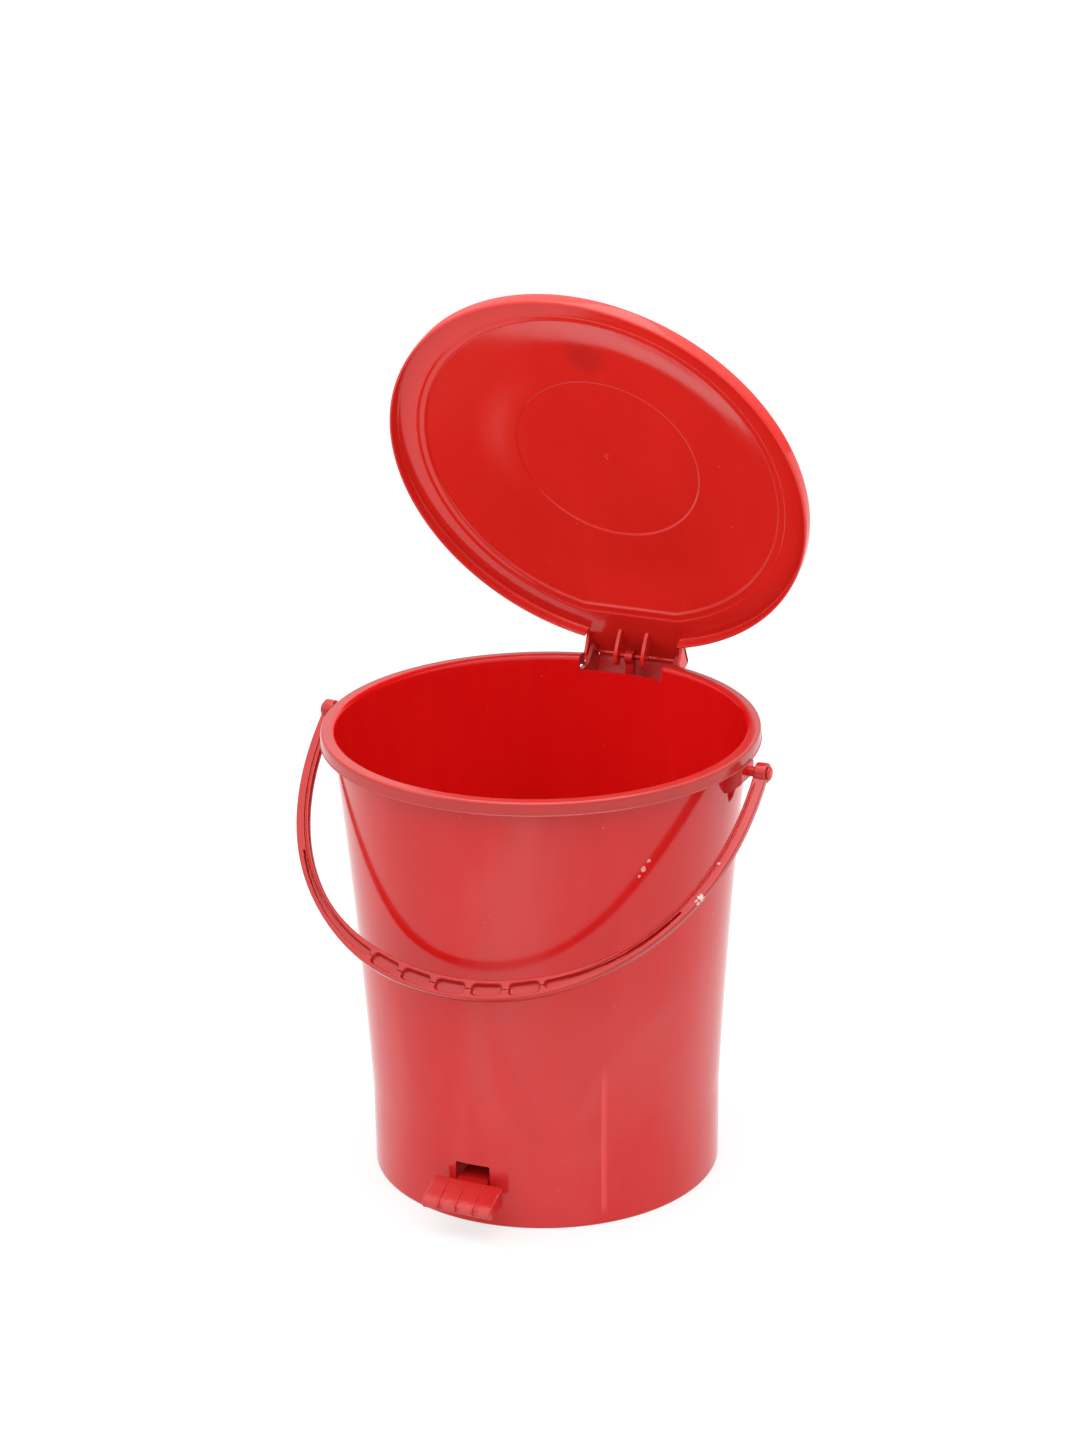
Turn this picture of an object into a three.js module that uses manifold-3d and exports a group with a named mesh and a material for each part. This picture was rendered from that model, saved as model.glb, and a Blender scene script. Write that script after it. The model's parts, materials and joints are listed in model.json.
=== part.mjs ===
// Pedal bin of moulded plastic: a round tub with a false floor, a domed lid on a rear hinge,
// a pedal lever under the floor, a push rod up the back and a bail handle on two ears.
// Millimetres, +Z up, the pedal at -Y and the hinge at +Y. The bin stands on z = 0.
// It is drawn with its pedal pressed and its lid open.

import * as THREE from 'three';
import { mergeVertices } from 'three/addons/utils/BufferGeometryUtils.js';
import Module from 'manifold-3d';

const wasm = await Module();
wasm.setup();

// Driving dimensions

const WALL = 2;
const GAP = 0.35; // between pieces that touch
const ROUND = 72; // sides of the large round pieces
const SMALL_ROUND = 20; // sides of the pins and bosses
const FRAME_SHIFT = 8; // the tub's axis stands this far in front of the origin

const FOOT_RADIUS = 105;
const FOOT_WIDTH = 4;
const FLOOR_TOP = 50;
const RIM_RADIUS = 130;
const RIM_TOP = 279.2;
// radius and height of the tub's outer wall, from the skirt up to the lip
const OUTER_WALL = [[105.3, 50], [109, 111], [113.5, 174], [119.7, 243], [122, 267]];

const NOTCH = { halfWidth: 28, floor: 269.5 };
const WINDOW = { halfWidth: 11, bottom: 12, top: 38 };
const REAR_SLOT = { halfWidth: 11, bottom: 8, top: 37 };

const COVER = { halfWidth: 15, bottom: 4, top: 258, rearBottom: 127, rearTop: 143 };
const FLANGE = { halfWidth: 26, thickness: 1.8, bottom: 10, top: 233 };
const SCREW = { shank: 1.2, head: 4.8, boss: 3.4, aside: 20.5 };
const COVER_SCREWS = [[-1, 60], [1, 60], [-1, 225], [1, 225]].map(([side, height]) => ({ side, height }));

const HINGE = { y: 142.2, z: 275.8 };
const KNUCKLE_RADIUS = 3.3;
const BRACKET = { inner: 27.3, outer: 30, rear: [[115, 236.2], [142.5, 256.5], [147.4, 263], [147.6, 268.5]] };
// the back of the hinge box, in [y, z]: its outer face going up, and its inner face going down
const BOX_OUTER = [[113, 234.7], [142.5, 256.5], [147.4, 263], [149.4, 268.2], [150.9, 271]];
const BOX_INNER = [[149.1, 271], [147.5, 268.6], [145.4, 263.8], [141.7, 258.3], [113, 237.5]];
const LID_OPEN = 65.8 * Math.PI / 180;
const LID_RADIUS = 133.5;
const LID_UNDERSIDE = 279.5; // of the flange, when closed
const LID_SKIRT_BOTTOM = 272.4;
const SHELL = 1.8; // thickness of the lid
// radius and rise of the lid's underside above its flange
const DOME = [[0, 17], [20, 16.7], [40, 15.9], [58, 14.8], [59.5, 14.1], [75, 12], [90, 9.4],
  [100, 6.9], [108, 4.4], [112.5, 2.6], [118, 0]];
const TAB = { halfWidth: 32.4, front: 113.8, rear: 148 };

const PIN_RADIUS = 1.5;
const HOLE_RADIUS = PIN_RADIUS + GAP;
const LINK = { y: 138, z: 269.3 }; // the rod's pin in the lid, when closed
const LUG = { inner: 8, outer: 10 };

const AXLE = { y: -10, z: 25, radius: 2.5, halfLength: 17.5 };
const ROD_FOOT = { y: 112.5, z: 25 };
const ROD_HALF_WIDTH = 2.5;
const LEVER_HALF_WIDTH = 9.5;
const LEVER_TIP = [[-121, 19.4], [-121, 22.3], [-110, 26.3]]; // inside the tread
const TREAD_HALF_WIDTH = 22.2;

const HANDLE = { pivotZ: 267.8, depth: 166.1, halfSpan: 139.7, lean: 50 * Math.PI / 180 };
const BAND = { width: 4.8, armHalf: 3.9, gripHalf: 6.1 };
const BOSS = { radius: 6.2, inner: 135.7, outer: 143.7 };
const PEG = { shank: 3, head: 4.1, root: 125.5, headFrom: 144.05, end: 145.6 };
const EAR = { face: 131, halfWidth: 9, top: 271.8, bottom: 256.5, faceBottom: 262.5 };

const RED = 0xd5201c;
const DEEP_RED = 0xb91613;
const STEEL = 0xb8babd;

// Solids

function solid(geometry) {
  const bare = geometry.index ? geometry.toNonIndexed() : geometry.clone();
  bare.deleteAttribute('normal');
  bare.deleteAttribute('uv');
  const merged = mergeVertices(bare, 1e-4);
  return new wasm.Manifold(new wasm.Mesh({
    numProp: 3,
    vertProperties: new Float32Array(merged.attributes.position.array),
    triVerts: new Uint32Array(merged.index.array),
  }));
}

function geometryOf(manifold) {
  const mesh = manifold.getMesh();
  const geometry = new THREE.BufferGeometry();
  geometry.setAttribute('position', new THREE.BufferAttribute(mesh.vertProperties, 3));
  geometry.setIndex(new THREE.BufferAttribute(mesh.triVerts, 1));
  return geometry;
}

const union = (...solids) => solids.reduce((whole, piece) => whole.add(piece));

// a profile of [radius, height] turned about the Z axis
function turned(profile, sides = ROUND) {
  const points = profile.map(([radius, height]) => new THREE.Vector2(radius, height));
  return solid(new THREE.LatheGeometry(points, sides).rotateX(Math.PI / 2));
}

function extruded(outline, depth, basis) {
  const points = outline.map(([u, v]) => new THREE.Vector2(u, v));
  if (THREE.ShapeUtils.area(points) < 0) points.reverse();
  const geometry = new THREE.ExtrudeGeometry(new THREE.Shape(points), { depth, bevelEnabled: false });
  return solid(geometry.applyMatrix4(basis));
}

const AXIS_X = new THREE.Vector3(1, 0, 0);
const AXIS_Y = new THREE.Vector3(0, 1, 0);
const AXIS_Z = new THREE.Vector3(0, 0, 1);

// an outline of [y, z] between two values of x
function sidePlate(outline, from, to) {
  const basis = new THREE.Matrix4().makeBasis(AXIS_Y, AXIS_Z, AXIS_X).setPosition(from, 0, 0);
  return extruded(outline, to - from, basis);
}

// an outline of [x, z] that spans y from -halfDepth to halfDepth
function frontPlate(outline, halfDepth) {
  const basis = new THREE.Matrix4().makeBasis(AXIS_X, AXIS_Z, AXIS_Y.clone().negate());
  return extruded(outline, 2 * halfDepth, basis.setPosition(0, halfDepth, 0));
}

function block(xFrom, xTo, yFrom, yTo, zFrom, zTo) {
  return sidePlate([[yFrom, zFrom], [yTo, zFrom], [yTo, zTo], [yFrom, zTo]], xFrom, xTo);
}

// a round bar along X
function bar(radius, from, to, y, z) {
  const geometry = new THREE.CylinderGeometry(radius, radius, to - from, SMALL_ROUND);
  return solid(geometry.rotateZ(-Math.PI / 2).translate((from + to) / 2, y, z));
}

// points round a centre, from one angle to another, in degrees
function arc(y, z, radius, from, to, steps = 8) {
  return Array.from({ length: steps + 1 }, (_, i) => {
    const angle = (from + (to - from) * i / steps) * Math.PI / 180;
    return [y + radius * Math.cos(angle), z + radius * Math.sin(angle)];
  });
}

// a slot's outline with round ends, its straight part running along y
function stadium(y, z, radius, halfStraight) {
  return [...arc(y + halfStraight, z, radius, -90, 90), ...arc(y - halfStraight, z, radius, 90, 270)];
}

// the lid's rotation about its hinge, for a point given in the closed position
function opened({ y, z }) {
  const dy = y - HINGE.y;
  const dz = z - HINGE.z;
  const cos = Math.cos(LID_OPEN);
  const sin = Math.sin(LID_OPEN);
  return { y: HINGE.y + dy * cos + dz * sin, z: HINGE.z - dy * sin + dz * cos };
}

const LINK_OPEN = opened(LINK);

// Tub

function outerRadius(height) {
  const above = OUTER_WALL.findIndex(([, z]) => z >= height);
  if (above <= 0) return OUTER_WALL[0][0];
  const [r0, z0] = OUTER_WALL[above - 1];
  const [r1, z1] = OUTER_WALL[above];
  return r0 + (r1 - r0) * (height - z0) / (z1 - z0);
}

function tubShell() {
  const skirt = [[0, FLOOR_TOP - WALL], [102.9, FLOOR_TOP - WALL], [102.6, 6],
    [FOOT_RADIUS - FOOT_WIDTH, 5], [FOOT_RADIUS - FOOT_WIDTH, 0], [FOOT_RADIUS, 0]];
  const lip = [[122.5, 275.3], [127.8, 275.3], [127.8, 271], [RIM_RADIUS, 271],
    [RIM_RADIUS, 275.4], [129.2, 277.9], [127.2, RIM_TOP], [125.2, 279], [123.7, 277.6], [121.2, 271.5]];
  const inside = OUTER_WALL.slice().reverse().map(([radius, height]) => [radius - WALL, height]);
  return turned([...skirt, ...OUTER_WALL, ...lip, ...inside, [0, FLOOR_TOP]]);
}

// the ear under the lip that carries one handle peg
function handleEar() {
  const outline = [[120.4, EAR.bottom], [123.2, EAR.bottom], [EAR.face, EAR.faceBottom],
    [EAR.face, EAR.top], [122.4, EAR.top], [120.7, 265]];
  const hole = bar(PEG.shank + GAP, PEG.root - GAP, EAR.face + 1, 0, HANDLE.pivotZ);
  return frontPlate(outline, EAR.halfWidth).subtract(hole);
}

// the bracket behind the notch that carries one hinge pin
function hingeBracket(from, to) {
  const outline = [...BRACKET.rear,
    ...arc(HINGE.y, HINGE.z, KNUCKLE_RADIUS, 0, 150), [131, 269.3], [117.8, 268.5], [117, 262]];
  return sidePlate(outline, from, to).subtract(bar(HOLE_RADIUS, from - 1, to + 1, HINGE.y, HINGE.z));
}

// the back between the two brackets, open in the middle for the rod and the top of its cover
function hingeBoxBack() {
  const plate = sidePlate([...BOX_OUTER, ...BOX_INNER], -BRACKET.inner - 0.5, BRACKET.inner + 0.5);
  const opening = COVER.halfWidth + GAP;
  const inside = turned([[0, 200], ...[200, 269].map((height) => [outerRadius(height) - WALL / 2, height]), [0, 269]]);
  return plate.subtract(inside)
    .subtract(block(-opening, opening, 100, 150, 220, COVER.top + GAP));
}

// the lug under the false floor that carries one end of the pedal's axle
function axleLug(from, to) {
  const outline = [[AXLE.y + 9, FLOOR_TOP - WALL / 2], [AXLE.y - 9, FLOOR_TOP - WALL / 2],
    ...arc(AXLE.y, AXLE.z, 7, 180, 360)];
  const hole = bar(AXLE.radius + GAP, from - 1, to + 1, AXLE.y, AXLE.z);
  return sidePlate(outline, from, to).subtract(hole);
}

const mirrored = (manifold) => manifold.mirror([1, 0, 0]);

function binBody() {
  const notch = block(-NOTCH.halfWidth, NOTCH.halfWidth, 90, 140, NOTCH.floor, 290);
  const window = block(-WINDOW.halfWidth, WINDOW.halfWidth, -115, -90, WINDOW.bottom, WINDOW.top);
  const rearSlot = block(-REAR_SLOT.halfWidth, REAR_SLOT.halfWidth, 90, 115,
    REAR_SLOT.bottom, REAR_SLOT.top);
  const ear = handleEar();
  const bracket = hingeBracket(BRACKET.inner, BRACKET.outer);
  const lug = axleLug(11, 14);
  let body = tubShell().subtract(notch).subtract(window).subtract(rearSlot);
  body = union(body, ear, mirrored(ear), bracket, mirrored(bracket), hingeBoxBack(), lug, mirrored(lug));
  COVER_SCREWS.forEach((spot) => {
    body = body.add(onWall(radialBar(SCREW.boss, -1, 2.2), spot));
    body = body.subtract(onWall(radialBar(SCREW.shank + GAP, -0.8, 3), spot));
  });
  return body;
}

// Rear cover and its screws

// a round bar that starts at x = from, to be stood on the wall
function radialBar(radius, from, to) {
  return bar(radius, from, to, 0, 0);
}

// turns a bar made along X onto the wall beside the cover, its zero on the wall's surface
function onWall(manifold, { side, height }) {
  const radius = outerRadius(height);
  const angle = 90 - side * Math.asin(SCREW.aside / radius) * 180 / Math.PI;
  return manifold.translate([radius, 0, height]).rotate([0, 0, angle]);
}

function rodCover() {
  const tilt = (COVER.rearTop - COVER.rearBottom) / (COVER.top - COVER.bottom);
  const channel = sidePlate([[90, COVER.bottom], [COVER.rearBottom, COVER.bottom],
    [COVER.rearTop, COVER.top], [90, COVER.top]], -COVER.halfWidth, COVER.halfWidth);
  const hollow = sidePlate([[80, COVER.bottom - 10],
    [COVER.rearBottom - WALL - 10 * tilt, COVER.bottom - 10],
    [COVER.rearTop - WALL + 10 * tilt, COVER.top + 10], [80, COVER.top + 10]],
  WALL - COVER.halfWidth, COVER.halfWidth - WALL);
  const wallProfile = (offset) => [[0, -5], [FOOT_RADIUS + offset, -5],
    ...OUTER_WALL.map(([radius, height]) => [radius + offset, height]), [0, 267]];
  const flange = turned(wallProfile(GAP + FLANGE.thickness))
    .intersect(block(-FLANGE.halfWidth, FLANGE.halfWidth, 60, 140, FLANGE.bottom, FLANGE.top));
  let cover = union(channel, flange).subtract(hollow).subtract(turned(wallProfile(GAP)));
  COVER_SCREWS.forEach((spot) => {
    cover = cover.subtract(onWall(radialBar(SCREW.boss + GAP, -3, 6), spot));
  });
  return cover;
}

function coverScrew(spot) {
  return onWall(union(radialBar(SCREW.shank, -0.4, 3), radialBar(SCREW.head, 2.6, 4.4)), spot);
}

// Lid, drawn closed

function lidShell() {
  const under = DOME.map(([radius, rise]) => [radius, LID_UNDERSIDE + rise]);
  const over = DOME.slice().reverse().map(([radius, rise]) => [radius, LID_UNDERSIDE + rise + SHELL]);
  const edge = [[LID_RADIUS - SHELL, LID_UNDERSIDE], [LID_RADIUS - SHELL, LID_SKIRT_BOTTOM],
    [LID_RADIUS, LID_SKIRT_BOTTOM], [LID_RADIUS, 279], [132.8, 280.6], [131.2, LID_UNDERSIDE + SHELL]];
  return turned([...under, ...edge, ...over]);
}

// the gusset at the tab's side that hangs down to the hinge pin
function tabEar(from, to) {
  const outline = [[128.5, 280.5], [TAB.rear, 280.5], [TAB.rear, 271], [146, 268.3], [141, 268.3],
    [136.5, 273.5], [131, LID_UNDERSIDE], [128.5, LID_UNDERSIDE]];
  return sidePlate(outline, from, to).subtract(bar(HOLE_RADIUS, from - 1, to + 1, HINGE.y, HINGE.z));
}

// the hooked lug that carries the rod's pin
function linkLug(from, to) {
  const outline = [[125.5, 280.2], [134.5, 266.5], [141, 263.5], [144, 265.5], [142.5, 269], [133, 280.2]];
  return sidePlate(outline, from, to).subtract(bar(HOLE_RADIUS, from - 1, to + 1, LINK.y, LINK.z));
}

function lid() {
  const ear = tabEar(TAB.halfWidth - SHELL, TAB.halfWidth);
  const lug = linkLug(LUG.inner, LUG.outer);
  const mouth = block(SHELL - TAB.halfWidth, TAB.halfWidth - SHELL, 110, 140, 260, LID_UNDERSIDE);
  const tab = block(-TAB.halfWidth, TAB.halfWidth, TAB.front, TAB.rear,
    LID_UNDERSIDE, LID_UNDERSIDE + SHELL);
  return union(lidShell().subtract(mouth), tab, ear, mirrored(ear), lug, mirrored(lug));
}

// Push rod, drawn with the lid open

function pushRod() {
  const tilt = Math.atan2(LINK_OPEN.y - ROD_FOOT.y, LINK_OPEN.z - ROD_FOOT.z);
  const half = 2.4; // of the shank's depth
  const aside = [half * Math.cos(tilt), -half * Math.sin(tilt)];
  const shank = sidePlate([
    [ROD_FOOT.y - aside[0], ROD_FOOT.z - aside[1]], [ROD_FOOT.y + aside[0], ROD_FOOT.z + aside[1]],
    [LINK_OPEN.y + aside[0], LINK_OPEN.z + aside[1]], [LINK_OPEN.y - aside[0], LINK_OPEN.z - aside[1]],
  ], -ROD_HALF_WIDTH, ROD_HALF_WIDTH);
  // the eye is a slot, because the lid's pin swings a little to the front at mid travel
  const eye = { y: LINK_OPEN.y - 0.6, z: LINK_OPEN.z - 0.25 };
  const head = sidePlate(stadium(eye.y, eye.z, 4, 0.6), -ROD_HALF_WIDTH, ROD_HALF_WIDTH);
  const slot = sidePlate(stadium(eye.y, eye.z, 2.2, 0.6), -5, 5);
  const foot = bar(4.2, -ROD_HALF_WIDTH, ROD_HALF_WIDTH, ROD_FOOT.y, ROD_FOOT.z);
  return union(shank, head, foot).subtract(slot).subtract(bar(HOLE_RADIUS, -5, 5, ROD_FOOT.y, ROD_FOOT.z));
}

// Pedal

function pedalLever() {
  const outline = [...LEVER_TIP, [-103, 28.4], [-92, 29.3], [100, 30.2],
    ...arc(ROD_FOOT.y, ROD_FOOT.z, 5, 90, -90), [100, 20.4], [-98, 21.6], [-110, 21.4]];
  const fork = block(-ROD_HALF_WIDTH - 0.6, ROD_HALF_WIDTH + 0.6, 105, 120, 10, 40);
  const shoulders = block(-30, 30, 102, 125, 10, 40)
    .subtract(block(-6.4, 6.4, 101, 126, 9, 41));
  return union(sidePlate(outline, -LEVER_HALF_WIDTH, LEVER_HALF_WIDTH),
    bar(6, -LEVER_HALF_WIDTH, LEVER_HALF_WIDTH, AXLE.y, AXLE.z))
    .subtract(fork).subtract(shoulders)
    .subtract(bar(AXLE.radius + GAP, -20, 20, AXLE.y, AXLE.z))
    .subtract(bar(HOLE_RADIUS, -20, 20, ROD_FOOT.y, ROD_FOOT.z));
}

function pedalTread() {
  const outline = [[-109.6, 29.5], [-125.5, 23.6], [-128.3, 21.6], [-129, 18], [-127, 15.8],
    [-112, 17.4], [-109.6, 18.6]];
  const pocket = [[-121.4, 19], [-121.4, 22.7], [-109, 27.2], [-105, 28.6], [-105, 21], [-109, 21]];
  return sidePlate(outline, -TREAD_HALF_WIDTH, TREAD_HALF_WIDTH)
    .subtract(sidePlate(pocket, -LEVER_HALF_WIDTH - GAP, LEVER_HALF_WIDTH + GAP));
}

function axleClip(from, to) {
  return bar(5.2, from, to, AXLE.y, AXLE.z)
    .subtract(bar(AXLE.radius + GAP, from - 1, to + 1, AXLE.y, AXLE.z));
}

// Handle, drawn hanging straight down from its pivot and then leant forward

function bailHandle() {
  const curve = new THREE.CubicBezierCurve(
    new THREE.Vector2(HANDLE.halfSpan, 0),
    new THREE.Vector2(HANDLE.halfSpan + 5.8, -114.3),
    new THREE.Vector2(71, -HANDLE.depth),
    new THREE.Vector2(0, -HANDLE.depth),
  );
  const steps = 26;
  const outer = [];
  const inner = [];
  for (let i = 0; i <= steps; i += 1) {
    const t = i / steps;
    const at = curve.getPoint(t);
    const along = curve.getTangent(t);
    const half = BAND.armHalf + (BAND.gripHalf - BAND.armHalf) * THREE.MathUtils.smoothstep(t, 0.45, 0.85);
    outer.push([at.x - along.y * half, at.y + along.x * half]);
    inner.push([at.x + along.y * half, at.y - along.x * half]);
  }
  const flip = ([x, q]) => [-x, q];
  const outline = [...outer, ...outer.slice(0, -1).reverse().map(flip),
    ...inner.slice(0, -1).map(flip), ...inner.slice().reverse()];
  const boss = bar(BOSS.radius, BOSS.inner, BOSS.outer, 0, 0);
  const hole = bar(PEG.shank + GAP, BOSS.inner - 9, BOSS.outer + 9, 0, 0);
  return union(frontPlate(outline, BAND.width / 2), boss, mirrored(boss))
    .subtract(hole).subtract(mirrored(hole));
}

function handlePeg() {
  return union(bar(PEG.shank, PEG.root, PEG.end - 1, 0, HANDLE.pivotZ),
    bar(PEG.head, PEG.headFrom, PEG.end, 0, HANDLE.pivotZ));
}

// Assembly

function plastic(colour, roughness) {
  return new THREE.MeshStandardMaterial({ color: colour, roughness, metalness: 0 });
}

function steel() {
  return new THREE.MeshStandardMaterial({ color: STEEL, roughness: 0.35, metalness: 1 });
}

function piece(name, manifold, material, group) {
  const mesh = new THREE.Mesh(geometryOf(manifold), material);
  mesh.name = name;
  group.add(mesh);
}

const bin = new THREE.Group();
bin.position.y = -FRAME_SHIFT;

piece('bin_body', binBody(), plastic(RED, 0.28), bin);
piece('rod_cover', rodCover(), plastic(RED, 0.3), bin);
COVER_SCREWS.forEach((spot, index) => {
  piece(`cover_screw_${index + 1}`, coverScrew(spot), steel(), bin);
});

// the lid and what moves with it, turned about the hinge
const lidGroup = new THREE.Group();
lidGroup.position.set(0, HINGE.y, HINGE.z);
lidGroup.rotation.x = -LID_OPEN;
bin.add(lidGroup);
const aboutHinge = (manifold) => manifold.translate([0, -HINGE.y, -HINGE.z]);
piece('lid', aboutHinge(lid()), plastic(RED, 0.25), lidGroup);
piece('link_pin', aboutHinge(bar(PIN_RADIUS, -11.5, 11.5, LINK.y, LINK.z)), plastic(DEEP_RED, 0.35), lidGroup);
const hingePin = bar(PIN_RADIUS, BRACKET.inner - 0.8, TAB.halfWidth - 0.2, HINGE.y, HINGE.z);
piece('hinge_pin_right', hingePin, plastic(DEEP_RED, 0.35), bin);
piece('hinge_pin_left', mirrored(hingePin), plastic(DEEP_RED, 0.35), bin);

piece('push_rod', pushRod(), plastic(DEEP_RED, 0.35), bin);
piece('rod_foot_pin', bar(PIN_RADIUS, -7.6, 7.6, ROD_FOOT.y, ROD_FOOT.z), steel(), bin);

piece('pedal_lever', pedalLever(), plastic(RED, 0.35), bin);
piece('pedal_tread', pedalTread(), plastic(RED, 0.35), bin);
piece('pedal_axle', bar(AXLE.radius, -AXLE.halfLength, AXLE.halfLength, AXLE.y, AXLE.z), steel(), bin);
piece('axle_clip_right', axleClip(14.4, 16), steel(), bin);
piece('axle_clip_left', mirrored(axleClip(14.4, 16)), steel(), bin);

// the bail hangs from z = 0 in its own frame
const handleGroup = new THREE.Group();
handleGroup.position.z = HANDLE.pivotZ;
handleGroup.rotation.x = -HANDLE.lean;
bin.add(handleGroup);
piece('bail_handle', bailHandle(), plastic(RED, 0.28), handleGroup);
piece('handle_peg_right', handlePeg(), plastic(DEEP_RED, 0.3), bin);
piece('handle_peg_left', mirrored(handlePeg()), plastic(DEEP_RED, 0.3), bin);

export default bin;
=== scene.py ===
import json
import math

import bmesh
import bpy
import numpy as np
from mathutils import Matrix, Vector


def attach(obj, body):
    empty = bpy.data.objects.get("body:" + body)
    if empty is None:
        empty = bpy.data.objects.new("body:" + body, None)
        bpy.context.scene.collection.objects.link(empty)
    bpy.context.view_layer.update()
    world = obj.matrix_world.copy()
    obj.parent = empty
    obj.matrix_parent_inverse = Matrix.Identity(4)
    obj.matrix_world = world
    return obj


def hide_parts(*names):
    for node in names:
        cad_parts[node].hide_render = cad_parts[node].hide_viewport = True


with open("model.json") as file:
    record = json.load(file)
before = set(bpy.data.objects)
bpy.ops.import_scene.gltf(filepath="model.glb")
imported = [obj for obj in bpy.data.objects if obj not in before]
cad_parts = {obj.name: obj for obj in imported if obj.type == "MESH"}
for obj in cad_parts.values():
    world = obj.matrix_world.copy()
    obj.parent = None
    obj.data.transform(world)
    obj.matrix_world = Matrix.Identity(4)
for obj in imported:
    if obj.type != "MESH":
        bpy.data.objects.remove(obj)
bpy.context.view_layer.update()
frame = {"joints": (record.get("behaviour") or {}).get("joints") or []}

# Shapes are worked out in millimetres round the tub's own axis, x to the right, y to the back, z up,
# and become metres in the frame when they are put into a mesh.
mm = 0.001
jointAt = {joint["name"]: np.array(joint["pos_m"]) for joint in frame["joints"]}
jointRange = {joint["name"]: joint["range_deg"] for joint in frame["joints"]}
axisY = jointAt["handle_swing"][1]


def local(point):
    # a point of the frame, in millimetres round the tub's axis
    return (np.array(point) - [0, axisY, 0]) / mm


hinge = local(jointAt["lid_hinge"])
pedalPivot = local(jointAt["pedal_pivot"])
rodFoot = local(jointAt["rod_pivot"])
handlePivot = local(jointAt["handle_swing"])
lidOpen = math.radians(jointRange["lid_hinge"][1])
print("frame read: hinge at", hinge.round(1), "lid open by", round(math.degrees(lidOpen), 1))


# Outlines

def rounded(points, radius, steps=5, closed=True):
    # each corner becomes a quadratic curve that starts and ends up to a radius away from it
    points = np.array(points, float)
    radii = np.broadcast_to(np.array(radius, float), len(points))
    before = np.roll(points, 1, axis=0)
    after = np.roll(points, -1, axis=0)
    line = []
    for corner, last, following, reach in zip(points, before, after, radii):
        toLast = last - corner
        toNext = following - corner
        cutLast = min(reach, 0.48 * np.linalg.norm(toLast))
        cutNext = min(reach, 0.48 * np.linalg.norm(toNext))
        start = corner + toLast / np.linalg.norm(toLast) * cutLast
        end = corner + toNext / np.linalg.norm(toNext) * cutNext
        share = np.linspace(0, 1, steps)[:, None]
        line.append((1 - share) ** 2 * start + 2 * share * (1 - share) * corner + share ** 2 * end)
    if not closed:
        line[0] = points[:1]
        line[-1] = points[-1:]
    return np.concatenate(line)


def denser(points, longest, closed=True):
    # the same line with points added, so that no stretch is longer than that
    points = np.array(points, float)
    ends = np.roll(points, -1, axis=0) if closed else points[1:]
    starts = points if closed else points[:-1]
    pieces = []
    for start, end in zip(starts, ends):
        count = max(1, math.ceil(np.linalg.norm(end - start) / longest))
        share = np.arange(count)[:, None] / count
        pieces.append(start + (end - start) * share)
    if not closed:
        pieces.append(points[-1:])
    return np.concatenate(pieces)


def arcPoints(centreY, centreZ, radius, fromAngle, toAngle, steps=10):
    angle = np.radians(np.linspace(fromAngle, toAngle, steps + 1))
    return np.stack([centreY + radius * np.cos(angle), centreZ + radius * np.sin(angle)], -1)


def smoothstep(low, high, value):
    share = np.clip((value - low) / (high - low), 0, 1)
    return share * share * (3 - 2 * share)


# Meshes

def gridFaces(rows, columns, wrapRows=False, wrapColumns=True):
    # quads between neighbouring points of a grid, as whole arrays
    row = np.arange(rows if wrapRows else rows - 1)
    column = np.arange(columns if wrapColumns else columns - 1)
    row, column = np.meshgrid(row, column, indexing="ij")
    nextRow = (row + 1) % rows
    nextColumn = (column + 1) % columns
    corners = [row * columns + column, nextRow * columns + column,
               nextRow * columns + nextColumn, row * columns + nextColumn]
    return np.stack(corners, -1).reshape(-1, 4)


def volumeOf(mesh):
    # six times the signed volume, from the mesh's own triangles
    mesh.calc_loop_triangles()
    places = np.zeros(len(mesh.vertices) * 3)
    mesh.vertices.foreach_get("co", places)
    places = places.reshape(-1, 3)
    corners = np.zeros(len(mesh.loop_triangles) * 3, int)
    mesh.loop_triangles.foreach_get("vertices", corners)
    a, b, c = places[corners.reshape(-1, 3)].transpose(1, 0, 2)
    return float(np.einsum("ij,ij->", a, np.cross(b, c)))


def weldPoles(mesh):
    work = bmesh.new()
    work.from_mesh(mesh)
    bmesh.ops.remove_doubles(work, verts=work.verts, dist=2e-6)
    bmesh.ops.dissolve_degenerate(work, edges=work.edges, dist=1e-6)
    work.to_mesh(mesh)
    work.free()


def newMesh(name, points, faces, weld=False):
    mesh = bpy.data.meshes.new(name)
    placed = np.array(points, float).reshape(-1, 3) * mm + [0, axisY, 0]
    mesh.from_pydata(placed.tolist(), [], [list(map(int, face)) for face in faces])
    if weld:
        weldPoles(mesh)
    mesh.update()
    if volumeOf(mesh) < 0:
        mesh.flip_normals()
    piece = bpy.data.objects.new(name, mesh)
    bpy.context.scene.collection.objects.link(piece)
    return piece


def carried(name, sections):
    # one closed section at each place along a path: sections[i, j] is point j of section i, ends filled
    count, around = sections.shape[:2]
    faces = [*gridFaces(count, around), np.arange(around)[::-1], np.arange(around) + (count - 1) * around]
    return newMesh(name, sections, faces)


def slab(name, outline, low, high, plane="yz"):
    # a flat outline carried straight from low to high along the third axis
    outline = np.array(outline, float)
    order = {"yz": (1, 2, 0), "xz": (0, 2, 1), "xy": (0, 1, 2)}[plane]
    sections = np.zeros((2, len(outline), 3))
    sections[..., order[0]] = outline[:, 0]
    sections[..., order[1]] = outline[:, 1]
    sections[..., order[2]] = np.array([low, high])[:, None]
    return carried(name, sections)


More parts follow.
